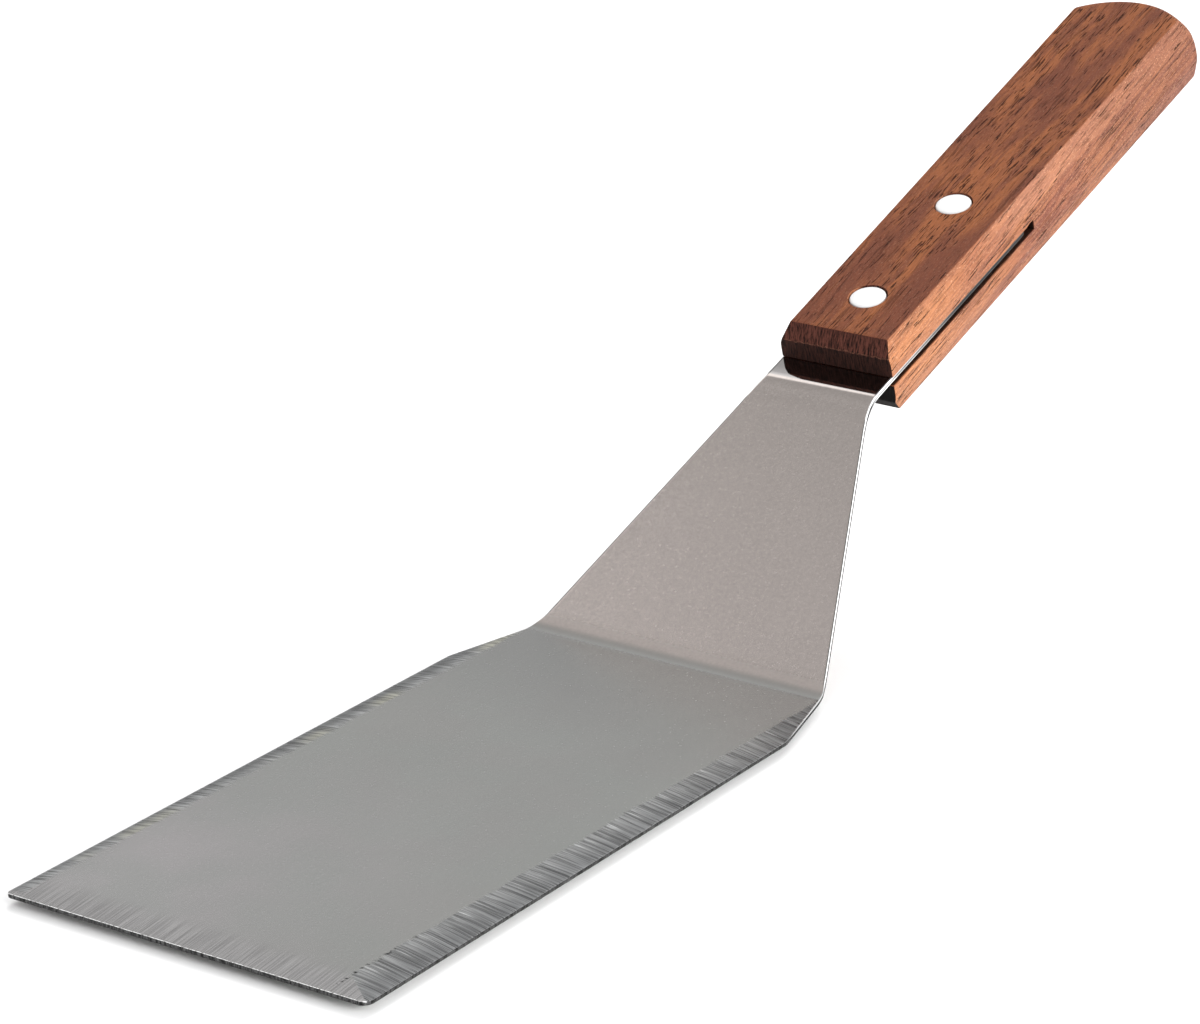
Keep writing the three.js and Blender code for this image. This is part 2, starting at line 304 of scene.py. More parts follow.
def sheet_ring(station, nip):
    """Vertices round the sheet, and how many of them lie along each face. Nip rounds off an end."""
    y, z, tilt = station
    left = -half_width(y, LEFT_CORNER)
    right = half_width(y, RIGHT_CORNER)

    def place(x, depth):
        return (x, y + depth * sin(tilt) + ORIGIN_Y, z - depth * cos(tilt))

    across = across_points(-left, right, y)
    under = SHEET - nip
    worn_right = ground_away(right, y) + nip
    worn_left = ground_away(left, y) + nip
    ring = [place(x, ground_away(x, y) + nip) for x in across]
    ring += [place(right - 0.04, worn_right + 0.04), place(right, worn_right + 0.15)]
    ring += [place(right, under - 0.3), place(right - 0.08, under - 0.08)]
    ring += [place(x, under) for x in reversed(across)]
    ring += [place(left + 0.08, under - 0.08), place(left, under - 0.3)]
    ring += [place(left, worn_left + 0.15), place(left + 0.04, worn_left + 0.04)]
    return ring, len(across)


def sheet_faces(ring_count, row):
    """Faces between the rings and over both ends. A ring has row points along the upper face,
    four down the right edge, row back along the lower face and four up the left edge."""
    size = 2 * row + 8
    faces = []
    for index in range(ring_count - 1):
        start = index * size
        for step in range(size):
            after = (step + 1) % size
            faces.append((start + step, start + after, start + size + after, start + size + step))
    for start in (0, (ring_count - 1) * size):
        for step in range(row - 1):
            low = start + 2 * row + 3 - step
            faces.append((start + step, start + step + 1, low - 1, low))
        faces.append([start + step for step in range(row - 1, row + 5)])
        faces.append([start + step % size for step in range(2 * row + 3, size + 1)])
    return faces


def make_blade():
    stations = fold_stations()
    nips = {0: 0.2, 1: 0.06, len(stations) - 1: 0.1}
    points = []
    for index, station in enumerate(stations):
        ring, row = sheet_ring(station, nips.get(index, 0.0))
        points += ring
    blade = add_object("blade_sheet", points, sheet_faces(len(stations), row), crease=22.0)
    holes = []
    for name, station in RIVET_STATIONS.items():
        hole = lathe("hole_" + name, [(0, -3), (HOLE_RADIUS, -3), (HOLE_RADIUS, 3), (0, 3)], 48)
        hole.matrix_world = HANDLE_FRAME @ Matrix.Translation((0, station * MM, 0))
        holes.append(hole)
    cut(blade, holes, crease=22.0)
    return blade


# ---------------------------------------------------------------- handle

# The grid on the handle's ends and sides, closer together at the chamfers and the corners.
DEPTHS = [6.2, 5.0, 4.6, 4.4, 4.2, 4.0, 3.75, 3.5, 3.3, 3.1, 2.7, 2.1, 1.5, 0.9, 0.5, 0.28, 0.14, 0.05, 0.0]
LEVELS = [0.0] + [HALF_HEIGHT - depth for depth in DEPTHS]
LEVELS = [-level for level in LEVELS[:0:-1]] + LEVELS
COLUMNS = [0.0, 0.14, 0.28, 0.42, 0.55, 0.67, 0.78, 0.87, 0.94, 0.98, 1.0]
COLUMNS = [-column for column in COLUMNS[:0:-1]] + COLUMNS


def side_reach(side, level, y):
    """Distance of the handle's side from its centre line. Side is +1 for right."""
    widths = RIGHT_CHAMFER if side > 0 else LEFT_CHAMFER
    chamfer = mix(widths[0], widths[1], clamp(y / HANDLE_LENGTH))
    rise = (abs(level) - HALF_HEIGHT + SIDE_CHAMFER_DEPTH) / SIDE_CHAMFER_DEPTH
    lean = chamfer * max(0.0, rise)
    worn = 0.07 * (1 - clamp(abs(rise) / 0.12))
    turn = clamp((abs(level) - HALF_HEIGHT + SIDE_ROUNDING) / SIDE_ROUNDING)
    return HALF_WIDTH - lean - worn - SIDE_ROUNDING * (1 - sqrt(1 - turn * turn))


def front_reach(level):
    """How far back the chamfered front stands at a level."""
    back, depth = TOP_FRONT_CHAMFER if level > 0 else LOWER_FRONT_CHAMFER
    into = clamp((abs(level) - HALF_HEIGHT + depth) / depth)
    return back * into + 0.06 * (1 - clamp(abs(into) / 0.08))


def dome_reach(x, level):
    """How far along the handle its domed end reaches at a place on the section."""
    across = (x / DOME_HALF_WIDTH) ** 2
    up = ((level + MID_LEVEL - DOME_LEVEL) / DOME_HALF_HEIGHT) ** 2
    return HANDLE_LENGTH - DOME_LENGTH * (1 - sqrt(1 - across - up))


def handle_point(column, level, share, inset):
    """A place on the handle. Column runs from -1 on the left side to 1 on the right, and share
    from 0 on the front face to 1 on the domed end. Inset rounds the edges of both ends."""
    y = HANDLE_LENGTH * share
    x = column * side_reach(column, level, y)
    wear = 0.03 + 0.03 * wander(x / 7, y / 24, level / 7)
    x *= 1 - (inset + wear) / HALF_WIDTH
    height = level * (1 - (inset + wear) / HALF_HEIGHT)
    along = mix(front_reach(level), dome_reach(x, height) - DOME_SANDING, share)
    return (x, along, MID_LEVEL + height)


def handle_rings():
    """(share of the length, inset) for each ring of vertices along the handle."""
    rings = [(0.0, 0.35), (0.0005, 0.17), (0.0014, 0.05), (0.003, 0.0), (0.008, 0.0)]
    rings += [(mix(0.008, 0.72, step / 60), 0.0) for step in range(1, 61)]
    rings += [(mix(0.72, 0.99, step / 24), 0.0) for step in range(1, 25)]
    rings += [(0.9950, 0.02), (0.9975, 0.08), (0.9990, 0.20), (1.0, 0.45)]
    return rings


def handle_blank():
    """The whole handle before it is slotted and bored."""
    rows, columns = len(LEVELS), len(COLUMNS)
    outline = [(column, 0) for column in range(columns)]
    outline += [(columns - 1, row) for row in range(1, rows)]
    outline += [(column, rows - 1) for column in range(columns - 2, -1, -1)]
    outline += [(0, row) for row in range(rows - 2, 0, -1)]
    rings = handle_rings()
    points, faces = [], []
    for share, inset in rings:
        for column, row in outline:
            points.append(handle_point(COLUMNS[column], LEVELS[row], share, inset))
    size = len(outline)
    for index in range(len(rings) - 1):
        for step in range(size):
            after = (step + 1) % size
            low, high = index * size, (index + 1) * size
            faces.append((low + step, low + after, high + after, high + step))
    for share, inset in (rings[0], rings[-1]):
        first = len(points)
        for level in LEVELS:
            for column in COLUMNS:
                points.append(handle_point(column, level, share, inset))
        for row in range(rows - 1):
            for column in range(columns - 1):
                corner = first + row * columns + column
                faces.append((corner, corner + 1, corner + columns + 1, corner + columns))
    return add_object("handle_wood", points, faces, crease=28.0)


def slot_cutter():
    """The saw cut for the tang, a little uneven, with a small tear at its end on the right."""
    fine_start = SLOT_DEPTH - 5.6
    stations = [-3.0, -0.2] + [mix(0.4, fine_start - 0.4, step / 50) for step in range(51)]
    stations += [mix(fine_start, SLOT_DEPTH, step / 16) for step in range(17)]
    across = [-16.0, -12.0, -4.0, 4.0, 10.0, 11.6, 12.2, 16.0]
    points, faces = [], []
    for y in stations:
        for x in across:
            short_of_end = SLOT_DEPTH - y
            tear = ease(x, 10.0, 12.2) * ease(short_of_end, 3.1, 1.4) * ease(short_of_end, -0.2, 0.6)
            top = SLOT_TOP + 0.03 * wander(x / 3, y / 2.3, 1.0) + 0.25 * tear
            low = SLOT_BOTTOM + 0.05 * wander(x / 3, y / 1.9, 7.0)
            end = 0.35 * wander(x / 3, 4.0, 0.5) if y == stations[-1] else 0.0
            points.append((x, y + end, top))
            points.append((x, y + end, low))
    width = 2 * len(across)
    for index in range(len(stations) - 1):
        for step in range(len(across) - 1):
            a = index * width + 2 * step
            b = a + width
            faces.append((a, a + 2, b + 2, b))
            faces.append((a + 1, a + 3, b + 3, b + 1))
        for edge in (0, width - 2):
            a = index * width + edge
            faces.append((a, a + 1, a + width + 1, a + width))
    for start in (0, (len(stations) - 1) * width):
        for step in range(len(across) - 1):
            a = start + 2 * step
            faces.append((a, a + 1, a + 3, a + 2))
    return add_object("slot", points, faces)


def make_handle():
    handle = handle_blank()
    wide = HEAD_RADIUS + SEAT_GAP
    top, floor = HANDLE_TOP, HANDLE_TOP - HEAD_THICKNESS - 0.1
    low, roof = HANDLE_BOTTOM, HANDLE_BOTTOM + HEAD_THICKNESS + 0.1
    profile = [
        (0, low - 1), (wide + 0.3, low - 1), (wide + 0.1, low + 0.1), (wide, low + 0.35), (wide, roof),
        (HOLE_RADIUS, roof), (HOLE_RADIUS, floor), (wide, floor), (wide, top - 0.35),
        (wide + 0.1, top - 0.1), (wide + 0.3, top + 1), (0, top + 1),
    ]
    cutters = [slot_cutter()]
    for name, station in RIVET_STATIONS.items():
        bore = lathe("bore_" + name, profile, 64)
        bore.matrix_world = Matrix.Translation((0, station * MM, 0))
        cutters.append(bore)
    cut(handle, cutters, crease=28.0)
    handle.data.transform(HANDLE_FRAME)
    return handle


# ---------------------------------------------------------------- rivets

def head_profile(outward):
    """A rivet head's rim and slightly domed face as (radius, height), from the shank outwards to
    the centre of the face. Outward is +1 where the head faces up."""
    face = HANDLE_TOP if outward > 0 else HANDLE_BOTTOM
    seat = face - outward * HEAD_THICKNESS
    r = HEAD_RADIUS
    steps = [(r - 0.12, 0.0, seat), (r, 0.12, seat)]
    rim = [(r, 0.42), (r - 0.05, 0.27), (r - 0.17, 0.15), (r - 0.38, 0.09)]
    dome = [(2.9, 0.055), (2.2, 0.03), (1.4, 0.01), (0.7, 0.0), (0, 0.0)]
    profile = [(radius, level + outward * lift) for radius, lift, level in steps]
    return profile + [(radius, face - outward * drop) for radius, drop in rim + dome]


def male_profile():
    end = HANDLE_BOTTOM + HEAD_THICKNESS + END_GAP
    seat = HANDLE_TOP - HEAD_THICKNESS
    shank = [(0, end), (PIN_RADIUS - 0.3, end), (PIN_RADIUS, end + 0.4)]
    return shank + [(PIN_RADIUS, seat - 0.2), (PIN_RADIUS + 0.15, seat)] + head_profile(1)


def female_profile():
    end = HANDLE_TOP - HEAD_THICKNESS - END_GAP
    floor = HANDLE_BOTTOM + HEAD_THICKNESS
    bore = [(0, floor), (TUBE_BORE, floor), (TUBE_BORE, end - 0.2), (TUBE_BORE + 0.1, end)]
    tube = [(TUBE_RADIUS - 0.1, end), (TUBE_RADIUS, end - 0.2), (TUBE_RADIUS, floor + 0.1)]
    return bore + tube + [(TUBE_RADIUS + 0.1, floor)] + head_profile(-1)


def make_rivets():
    pieces = {}
    for place, station in RIVET_STATIONS.items():
        for half, profile in (("male", male_profile()), ("female", female_profile())):
            rivet = lathe(f"{place}_rivet_{half}_head", profile)
            rivet.data.transform(HANDLE_FRAME @ Matrix.Translation((0, station * MM, 0)))
            pieces[f"{place}_rivet_{half}"] = rivet
    return pieces


# ---------------------------------------------------------------- materials

class Shader:
    """A material's node tree. Its methods take sockets or plain values and return sockets."""

    def __init__(self, name, **constants):
        self.material = bpy.data.materials.new(name)
        self.material.use_nodes = True
        self.tree = self.material.node_tree
        self.surface = self.tree.nodes["Principled BSDF"]
        for socket, value in constants.items():
            self.surface.inputs[socket.replace("_", " ")].default_value = value

    def put(self, socket, value):
        if isinstance(value, bpy.types.NodeSocket):
            self.tree.links.new(value, socket)
        else:
            socket.default_value = value

    def math(self, operation, *values):
        node = self.tree.nodes.new("ShaderNodeMath")
        node.operation = operation
        for socket, value in zip(node.inputs, values):
            self.put(socket, value)
        return node.outputs[0]

    def add(self, a, b):
        return self.math("ADD", a, b)

    def times(self, a, b):
        return self.math("MULTIPLY", a, b)

    def affine(self, value, factor, offset):
        return self.math("MULTIPLY_ADD", value, factor, offset)

    def step(self, value, low, high, to_low=0.0, to_high=1.0):
        """A smooth step: to_low below low and to_high above high."""
        node = self.tree.nodes.new("ShaderNodeMapRange")
        node.interpolation_type = "SMOOTHSTEP"
        for socket, given in zip(node.inputs, (value, low, high, to_low, to_high)):
            self.put(socket, given)
        return node.outputs[0]

    def vector(self, x, y, z):
        node = self.tree.nodes.new("ShaderNodeCombineXYZ")
        for socket, value in zip(node.inputs, (x, y, z)):
            self.put(socket, value)
        return node.outputs[0]

    def even(self, value):
        """A grey from a single value."""
        return self.vector(value, value, value)

    def split(self, vector):
        node = self.tree.nodes.new("ShaderNodeSeparateXYZ")
        self.put(node.inputs[0], vector)
        return node.outputs

    def shift(self, vector, offset):
        node = self.tree.nodes.new("ShaderNodeVectorMath")
        self.put(node.inputs[0], vector)
        self.put(node.inputs[1], offset)
        return node.outputs[0]

    def stretch(self, vector, factors):
        node = self.tree.nodes.new("ShaderNodeVectorMath")
        node.operation = "MULTIPLY"
        self.put(node.inputs[0], vector)
        self.put(node.inputs[1], factors)
        return node.outputs[0]

    def millimetres(self, origin, tilt=0.0):
        """Coordinates in millimetres in a frame with this origin, in metres, tilted about X."""
        node = self.tree.nodes.new("ShaderNodeTexCoord")
        return self.framed(node.outputs["Object"], origin, tilt, 1 / MM)

    def facing(self, tilt):
        """The surface's direction in a frame tilted about X."""
        node = self.tree.nodes.new("ShaderNodeTexCoord")
        return self.split(self.framed(node.outputs["Normal"], (0.0, 0.0, 0.0), tilt, 1.0))

    def framed(self, vector, origin, tilt, scale):
        node = self.tree.nodes.new("ShaderNodeMapping")
        node.vector_type = "TEXTURE"
        self.put(node.inputs["Vector"], vector)
        node.inputs["Location"].default_value = origin
        node.inputs["Rotation"].default_value = (tilt, 0.0, 0.0)
        return self.stretch(node.outputs[0], (scale, scale, scale))

    def noise(self, vector, factors, detail=2.0, roughness=0.5, distortion=0.0):
        """Noise from 0 to 1. Factors are its frequencies along each axis, in cycles a millimetre."""
        node = self.tree.nodes.new("ShaderNodeTexNoise")
        node.inputs["Scale"].default_value = 1.0
        node.inputs["Detail"].default_value = detail
        node.inputs["Roughness"].default_value = roughness
        node.inputs["Distortion"].default_value = distortion
        self.put(node.inputs["Vector"], self.stretch(vector, factors))
        return node.outputs[0]

    def blend(self, factor, a, b, mode="MIX"):
        node = self.tree.nodes.new("ShaderNodeMix")
        node.data_type = "RGBA"
        node.blend_type = mode
        self.put(node.inputs[0], factor)
        self.put(node.inputs[6], a)
        self.put(node.inputs[7], b)
        return node.outputs[2]

    def fade(self, factor, a, b):
        """From value a to value b."""
        node = self.tree.nodes.new("ShaderNodeMix")
        for socket, value in ((0, factor), (2, a), (3, b)):
            self.put(node.inputs[socket], value)
        return node.outputs[0]

    def bump(self, height, depth, below=None):
        """Relief from a height of 0 to 1 that stands for depth millimetres."""
        node = self.tree.nodes.new("ShaderNodeBump")
        node.inputs["Distance"].default_value = depth * MM
        self.put(node.inputs["Height"], height)
        if below is not None:
            self.put(node.inputs["Normal"], below)
        return node.outputs[0]

    def finish(self, colour, roughness, normal, metallic=None):
        self.put(self.surface.inputs["Base Color"], colour)
        self.put(self.surface.inputs["Roughness"], roughness)
        self.put(self.surface.inputs["Normal"], normal)
        if metallic is not None:
            self.put(self.surface.inputs["Metallic"], metallic)
        return self.material


def grey(value, red=1.0, blue=1.0):
    return (value * red, value, value * blue, 1.0)


def bevel(s, run, out, soft):
    """Where a bevel has been ground: a comb-like inner line that follows the strokes."""
    ragged = s.noise(s.vector(run, 0.0, 0.0), (2.4, 0, 0), 2.0, 0.75)
    uneven = s.noise(s.vector(run, 3.0, 0.0), (0.12, 0, 0), 2.0)
    line = s.add(s.affine(ragged, 3.4, -1.7), s.affine(uneven, 1.6, -0.8))
    return s.step(s.math("SUBTRACT", out, line), -soft, soft)


def strokes(s, run, side, seed):
    """Grinding strokes from -1 to 1: broad light and dark pairs with finer lines between them."""
    where = s.vector(run, side, seed)
    broad = s.step(s.noise(where, (1.6, 0.04, 1), 2.0, 0.7), 0.36, 0.64, -1.0, 1.0)
    fine = s.step(s.noise(where, (3.6, 0.07, 1), 1.0, 0.7), 0.38, 0.62, -1.0, 1.0)
    return s.affine(broad, 0.4, s.times(fine, 0.7))


# Heights above the underside at which the folded sheet's finish changes: the edge from the neck's
# tones to the tang's, then the face to polish and to a painted dark reflection of the handle's end
# grain. At the saw cut the edge is painted darker as shade at the mouth, and again on the way in.
TANG_EDGE = (40.6, 42.0)
TANG_POLISH = (40.8, 42.2)
TANG_DARK_REFLECTION = (42.35, 42.6)
SLOT_MOUTH_SHADE = (43.8, 44.4)
SLOT_INNER_SHADE = (45.0, 53.0)

# About the middle of the saw cut, below the tang's upper face.
SLOT_MIDDLE = 0.93


class Bevels:
    """The blade's three ground bevels, with strokes square to each edge that drift a little and
    curve outwards. Out is the distance from a bevel's inner line, run is the place along its edge,
    which sets one stroke apart from the next, and the rest are masks, 1 where the face is ground."""

    def __init__(self, s, place):
        self.s, self.place = s, place
        self.x, self.y, z = s.split(place)
        x, y = self.x, self.y
        self.right_out = self.outwards(x, BEVEL_RIGHT)
        self.left_out = self.outwards(s.times(x, -1.0), BEVEL_LEFT)
        front_out = s.math("SUBTRACT", BEVEL_FRONT, y)
        sway = s.affine(s.noise(place, (0.06, 0.06, 0), 1.0), 2.0, -1.0)
        curve = s.math("POWER", s.math("MAXIMUM", s.add(self.right_out, 1.5), 0.0), 1.6)
        self.right_run = s.add(s.add(y, s.times(curve, 0.035)), sway)
        self.left_run = s.add(s.affine(self.left_out, 0.12, y), sway)
        self.front_run = s.affine(y, 0.06, x)

        self.upper = s.times(s.step(z, 0.5, 0.62), s.step(y, BLADE_LENGTH - 1.4, BLADE_LENGTH - 3.4))
        mitre = s.math("SUBTRACT", s.times(self.right_out, BEVEL_FRONT / BEVEL_RIGHT[0]), front_out)
        right = s.times(bevel(s, self.right_run, self.right_out, 0.15), s.step(mitre, -0.1, 0.1))
        left = s.times(bevel(s, self.left_run, self.left_out, 0.5), self.upper)
        self.right = s.times(right, self.upper)
        self.left = s.times(left, s.step(y, 0.0, 2.5))
        self.sides = s.math("MAXIMUM", self.right, self.left)
        front = s.times(bevel(s, self.front_run, s.times(front_out, 0.8), 2.5), self.upper)
        self.front = s.times(front, s.math("SUBTRACT", 1.0, self.sides))

    def outwards(self, x, widths):
        """Distance out from the inner line of a side bevel that is widths wide at its two ends."""
        s = self.s
        slope = (widths[0] - widths[1]) / BLADE_LENGTH
        return s.math("SUBTRACT", x, s.affine(self.y, slope, HALF_BLADE - widths[0]))

    def tint(self, tone):
        """The ground metal is darker towards the rims, and straw-coloured in places on the left."""
        s = self.s
        rim = s.step(self.right_out, 0.5, 6.0)
        right = s.blend(rim, grey(0.45, 0.99, 1.0), grey(0.335, 0.985, 1.015))
        shoulder = s.step(self.y, SHOULDER_START - 8.5, SHOULDER_START + 9.5, 0.0, 0.8)
        right = s.blend(shoulder, right, grey(0.22, 0.97, 1.03))
        tone = s.blend(self.right, tone, right)
        rim = s.step(self.left_out, 0.0, 3.2)
        left = s.blend(rim, grey(0.50, 0.99, 1.0), grey(0.24, 0.975, 1.01))
        straw = s.step(s.noise(self.place, (0.0, 0.045, 0.0), 1.0), 0.48, 0.62)
        straw = s.times(straw, s.step(self.left_out, 3.5, 0.5))
        left = s.blend(s.times(straw, 0.55), left, grey(0.58, 1.03, 0.76))
        tone = s.blend(self.left, tone, left)
        return s.blend(self.front, tone, grey(0.53, 1.02, 0.995))

    def grinding(self):
        """Grinding strokes on all three bevels, from -1 to 1."""
        s = self.s
        stroke = s.times(self.right, strokes(s, self.right_run, self.x, 1.7))
        stroke = s.add(stroke, s.times(self.left, strokes(s, self.left_run, self.x, 5.1)))
        front = s.times(strokes(s, self.front_run, self.y, 9.3), 0.40)
        return s.add(stroke, s.times(self.front, front))

    def glints(self):
        """Bright strokes on the inner part of the right bevel."""
        s = self.s
        glint = s.step(s.noise(s.vector(self.right_run, self.x, 4.4), (1.3, 0.10, 1), 1.0), 0.62, 0.70)
        return s.times(s.times(glint, self.right), s.step(self.right_out, 4.5, 1.0))

    def nicks(self):
        """Burnt nicks along the inner line of the right bevel, near the front and at the fold."""
        s = self.s
        fold = s.step(self.y, BLADE_LENGTH - 8.4, BLADE_LENGTH - 3.4)
        near = s.math("MAXIMUM", s.step(self.y, 34.0, 12.0), fold)
        inner = s.times(s.step(s.math("ABSOLUTE", self.right_out), 0.6, 0.1), near)
        nick = s.times(inner, s.step(s.noise(self.place, (1.1, 1.1, 0), 2.0), 0.54, 0.62))
        return s.times(nick, self.upper)


def mill_finish(s, place, speck):
    """Slow clouds of tone, a fine rolled grain along the sheet and small specks. The neck is warmer
    and grainier, and the blade is rosier towards its working edge and duller towards the fold."""
    x, y, z = s.split(place)
    cloud = s.noise(place, (0.035, 0.025, 0.035), 3.0, 0.55)
    tint = s.step(s.noise(place, (0.045, 0.045, 0.045), 3.0), 0.35, 0.65)
    rolled = s.noise(place, (1.6, 0.10, 0.10), 3.0, 0.6)
    on_neck = s.step(z, SHEET + 0.05, SHEET + 0.8)
    nearer = s.times(s.step(y, 95.0, 10.0), s.step(s.times(x, -1.0), -45.0, 40.0))
    tone = s.blend(nearer, grey(0.535, 1.0, 0.965), grey(0.63, 1.045, 1.01))
    tone = s.blend(s.times(tint, 0.5), tone, grey(0.56, 0.96, 0.955))
    tone = s.blend(s.step(y, 95.0, 150.0, 0.0, 0.6), tone, grey(0.42, 1.0, 0.985))
    neck = s.blend(s.step(z, 8.0, 40.0), grey(0.485, 1.115, 0.945), grey(0.45, 1.11, 0.94))
    tone = s.blend(on_neck, tone, neck)
    level = s.affine(cloud, 0.12, 0.94)
    level = s.add(level, s.affine(rolled, 0.06, -0.03))
    level = s.add(level, s.times(s.affine(speck, 1.0, -0.5), s.affine(on_neck, 0.22, 0.12)))
    return s.blend(1.0, tone, s.even(level), "MULTIPLY"), rolled


def sheet_depth(s, y, z):
    """Depth below the upper face, square to it, which follows the sheet round both folds."""
    up_neck = s.affine(y, tan(NECK_ANGLE), SHEET - BLADE_LENGTH * tan(NECK_ANGLE))
    up_tang = s.affine(y, tan(TANG_ANGLE), FOLD_Z - FOLD_Y * tan(TANG_ANGLE))
    in_neck = s.times(s.math("SUBTRACT", up_neck, z), cos(NECK_ANGLE))
    in_tang = s.times(s.math("SUBTRACT", up_tang, z), cos(TANG_ANGLE))
    depth = s.math("SMOOTH_MIN", in_neck, in_tang, 1.3)
    return s.math("SMOOTH_MAX", s.math("SUBTRACT", SHEET, z), depth, 3.0)


def sheared_wall(s, facing):
    """1 on the blade's sheared edges."""
    nx, ny, nz = facing
    wall = s.math("MAXIMUM", s.step(s.math("ABSOLUTE", nx), 0.45, 0.75), s.step(ny, -0.62, -0.82))
    return s.times(wall, s.step(s.math("ABSOLUTE", nz), 0.75, 0.5))


def painted_edge_highlight(s, place, facing):
    """1 on a painted highlight along the blade's upper edges, broken by gaps."""
    _, y, z = s.split(place)
    nx, ny, nz = facing
    tilt = s.math("MAXIMUM", nx, s.times(s.times(ny, -1.0), s.step(y, 1.5, 1.0)))
    rim_highlight = s.times(s.step(tilt, 0.15, 0.35), s.step(tilt, 0.93, 0.80))
    rim_highlight = s.times(s.times(rim_highlight, s.step(nz, 0.0, 0.2)), s.step(z, 0.3, 0.5))
    return s.times(rim_highlight, s.step(s.noise(place, (1.5, 1.5, 0), 2.0), 0.40, 0.52))


def raised_edge(s, place, facing):
    """1 on the sheet's side edges from the shoulders up. Ground bevels lean less than turned
    edges, and are left out."""
    _, y, z = s.split(place)
    low = s.step(z, 1.5, 3.0, 0.30, 0.06)
    high = s.step(z, 1.5, 3.0, 0.50, 0.14)
    turned = s.step(s.math("ABSOLUTE", facing[0]), low, high)
    return s.times(s.step(y, SHOULDER_START + 0.5, SHOULDER_START + 3.5), turned)


def painted_edge_light(s, place, sheared):
    """Painted light and shade on the clean edges: a dark turn, a painted highlight on the upper half and
    painted shade on the lower half, which gives way to a grey middle and a painted highlight on the lower
    edge along the tang. All of it is darker low at the shoulders, and painted darker as shade inside
    the saw cut."""
    _, y, z = s.split(place)
    depth = sheet_depth(s, y, z)
    top_line = s.step(depth, 0.03, 0.07, 0.05, 1.0)
    neck = s.fade(s.step(depth, 0.42, 0.50), top_line, s.step(sheared, 0.3, 0.7, 0.01, 0.04))
    middle = s.fade(s.step(depth, 0.36, 0.46), top_line, s.step(sheared, 0.3, 0.7, 0.22, 0.36))
    tang = s.fade(s.step(depth, 0.78, 0.88), middle, 0.95)
    tone = s.fade(s.step(z, *TANG_EDGE), neck, tang)
    # Painted shade: the edges are darker at the mouth of the saw cut, and darker still on the way in.
    tone = s.times(tone, s.step(z, *SLOT_MOUTH_SHADE, 1.0, 0.55))
    tone = s.times(tone, s.step(z, *SLOT_INNER_SHADE, 1.0, 0.12))
    return s.times(tone, s.step(z, 1.5, 4.0, 0.42, 1.0))


def steel_material():
    s = Shader("brushed_steel", Metallic=1.0)
    place = s.millimetres((0.0, ORIGIN_Y * MM, 0.0))
    _, _, z = s.split(place)
    facing = s.facing(0.0)
    speck = s.noise(place, (1.6, 1.6, 1.6), 3.0, 0.7)
    tone, rolled = mill_finish(s, place, speck)

    bevels = Bevels(s, place)
    stroke = bevels.grinding()
    brightness = s.add(s.affine(stroke, 0.50, 1.0), s.times(bevels.glints(), 0.75))
    tone = s.blend(1.0, bevels.tint(tone), s.even(brightness), "MULTIPLY")
    tone = s.blend(bevels.nicks(), tone, grey(0.05))

    # The lower fold is duller, with a thin line of painted shade along it that also dims the bright
    # studio strip the bend mirrors.
    fold = s.times(s.step(z, 1.22, 1.45), s.step(z, 3.2, 2.2))
    crease = s.times(s.step(z, 1.22, 1.60), s.step(z, 2.20, 1.60))
    tone = s.blend(s.times(crease, 0.45), tone, grey(0.25, 1.02, 0.95))

    # The flat tang is polished, and near the handle painted a deeper grey: a painted dark reflection of
    # the handle's end grain.
    polished = s.step(z, *TANG_POLISH)
    painted_reflection = s.step(z, *TANG_DARK_REFLECTION, 0.0, 0.8)
    tone = s.blend(painted_reflection, tone, grey(0.30, 1.02, 1.0))

    # The blade's edges are painted dark, with short marks across them: partly the rough sheared metal,
    # partly painted shade. A painted highlight runs along their upper rims. Those above the shoulders are
    # clean, and carry painted highlight and shade of their own.
    sheared = s.noise(place, (2.4, 2.4, 0.5), 3.0, 0.7)
    wall = sheared_wall(s, facing)
    rim_highlight = painted_edge_highlight(s, place, facing)
    raised = raised_edge(s, place, facing)
    # Painted shade on the sheared walls, over the rougher sheared finish.
    tone = s.blend(wall, tone, s.even(s.step(sheared, 0.38, 0.62, 0.02, 0.14)))
    # Painted highlight along the upper rims of the edges.
    tone = s.blend(rim_highlight, tone, grey(0.95))
    tone = s.blend(raised, tone, s.even(painted_edge_light(s, place, sheared)))

    roughness = s.affine(speck, 0.08, 0.22)
    roughness = s.fade(polished, roughness, 0.05)
    roughness = s.fade(bevels.sides, roughness, s.affine(stroke, 0.06, 0.30))
    roughness = s.fade(fold, roughness, 0.45)
    edges = s.math("MAXIMUM", s.math("MAXIMUM", wall, rim_highlight), raised)
    roughness = s.fade(edges, roughness, s.affine(raised, 0.3, 0.5))
    relief = s.add(s.times(stroke, 0.5), s.times(rolled, 0.10))
    normal = s.bump(relief, 0.010, s.bump(speck, 0.0003))
    # The painted edge highlights and shade are not metallic, so that the lamps light them.
    metallic = s.fade(s.math("MAXIMUM", raised, rim_highlight), 1.0, 0.0)
    return s.finish(tone, roughness, normal, metallic)


def wood_grain(s, place):
    """Coordinates that run with the grain, which climbs the sides a little and wanders."""
    x, y, z = s.split(place)
    bend = s.affine(s.noise(place, (0.02, 0.022, 0.02), 2.0), 4.0, -2.0)
    ripple = s.affine(s.noise(place, (0.10, 0.07, 0.10), 1.0), 0.5, -0.25)
    drift = s.add(bend, ripple)
    return s.vector(s.add(x, drift), y, s.add(s.affine(y, -0.055, z), s.times(drift, 0.6)))


